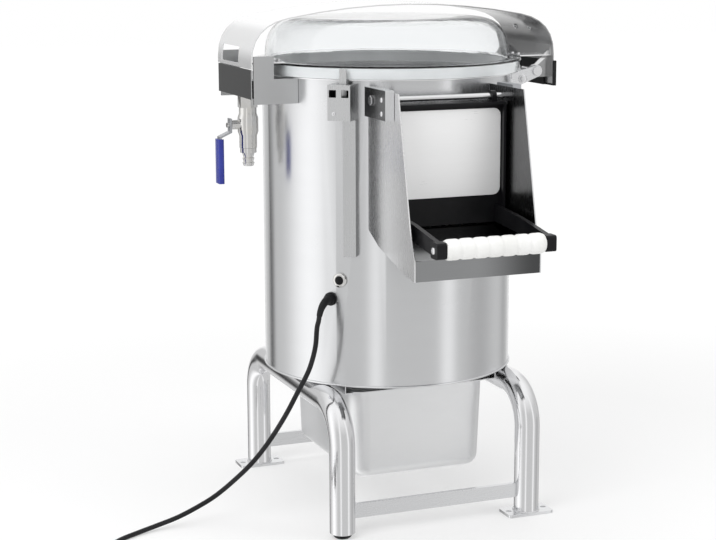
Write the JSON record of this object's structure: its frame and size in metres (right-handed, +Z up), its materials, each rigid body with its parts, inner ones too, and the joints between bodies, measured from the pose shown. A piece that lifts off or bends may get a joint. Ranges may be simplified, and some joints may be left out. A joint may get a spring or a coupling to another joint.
{
  "type": "electric potato peeler",
  "caption": "Floor-standing electric vegetable peeler: steel drum on bent-tube legs, clear hinged lid, front chute with lifting door, peel pan below.",
  "frame": {"origin": "on the floor, under the middle of the machine's own footprint, which leaves out the free cord, its coil and the plug", "axes": "+Z up, -Y towards the user, out of the chute and the door, +X to the user's right, towards the lid's hinge"},
  "size_m": [0.8503, 0.676, 0.845],
  "materials": {
    "stainless": "rolled sheet, lightly brushed",
    "polished": "polished stainless steel",
    "dark_steel": "plain machined steel",
    "cast_iron": "machined casting",
    "motor_paint": "grey enamel",
    "grit": "coarse bonded abrasive",
    "clear": "clear moulded plastic",
    "rubber": "matte black rubber",
    "black": "black moulded plastic",
    "white": "white moulded plastic",
    "blue": "dipped blue vinyl",
    "nickel": "nickel-plated brass"
  },
  "bodies": {
    "machine": {"body_shell": "stainless", "base_plate": "dark_steel", "chamber_pan": "stainless", "abrasive_liner": "grit", "top_ring": "stainless", "bearing_housing": "cast_iron", "motor_housing": "motor_paint", "v_belt": "rubber", "side_frame_left": "polished", "side_frame_right": "polished", "cross_bar_front": "stainless", "cross_bar_rear": "stainless", "tray_rail_left": "stainless", "tray_rail_right": "stainless", "chute_side_left": "stainless", "chute_side_right": "stainless", "chute_floor": "polished", "outlet_frame": "stainless", "door_hinge_block_left": "stainless", "door_hinge_block_right": "stainless", "door_hinge_pin": "polished", "door_seal": "rubber", "cover_hinge_lug_rear": "stainless", "cover_hinge_lug_front": "stainless", "cover_hinge_pin": "polished", "inlet_shelf": "stainless", "inlet_elbow": "stainless", "valve_body": "nickel", "hose_tail": "nickel", "switch_box": "stainless", "micro_switch": "black", "cable_duct": "stainless", "button_bezel": "nickel", "cable_gland": "black", "strain_relief": "rubber", "cord": "rubber", "cord_coil": "rubber", "cord_tie": "rubber", "plug": "black"},
    "cover": {"clear_lid": "clear", "lid_seal": "rubber", "cover_arch": "polished", "cover_foot_cap": "rubber", "switch_tongue": "stainless"},
    "door": {"door_frame": "black", "door_panel": "stainless", "handle_arm_left": "black", "handle_arm_right": "black", "handle_grip": "white", "handle_rod": "stainless"},
    "valve_handle": {"valve_ball": "nickel", "valve_lever": "dark_steel", "lever_sleeve": "blue"},
    "pan": {"peel_tray": "stainless"},
    "button": {"push_button": "black"},
    "disc": {"abrasive_disc": "grit", "drive_shaft": "dark_steel", "large_pulley": "cast_iron"},
    "motor_shaft": {"motor_rotor": "cast_iron"},
    "foot": {"levelling_foot": "black"}
  },
  "joints": [
    {"name": "cover_open", "type": "hinge", "parent": "machine", "child": "cover", "pos_m": [0.251, 0.1, 0.729], "axis": [0, 1, 0], "range_deg": [0, 80]},
    {"name": "door_open", "type": "hinge", "parent": "machine", "child": "door", "pos_m": [0.014, -0.135, 0.705], "axis": [-1, 0, 0], "range_deg": [0, 75]},
    {"name": "valve_turn", "type": "hinge", "parent": "machine", "child": "valve_handle", "pos_m": [-0.232, 0.1, 0.6497], "axis": [-1, 0, 0], "range_deg": [0, 90]},
    {"name": "pan_slide", "type": "slide", "parent": "machine", "child": "pan", "axis": [0, -1, 0], "range_m": [0, 0.3]},
    {"name": "button_press", "type": "slide", "parent": "machine", "child": "button", "axis": [0.6848, 0.7288, 0], "range_m": [0, 0.003], "stiffness_N_per_m": 400, "springref_m": -0.001},
    {"name": "disc_spin", "type": "hinge", "parent": "machine", "child": "disc", "pos_m": [0.014, 0.1, 0.45], "axis": [0, 0, 1], "continuous": true},
    {"name": "motor_spin", "type": "hinge", "parent": "machine", "child": "motor_shaft", "pos_m": [0.014, 0.218, 0.38], "axis": [0, 0, 1], "continuous": true},
    {"name": "foot_turn", "type": "hinge", "parent": "machine", "child": "foot", "pos_m": [-0.151, -0.115, 0.01], "axis": [0, 0, 1], "continuous": true}
  ],
  "couplings": [
    {"joint": "motor_spin", "follows": "disc_spin", "ratio": 2.58}
  ]
}
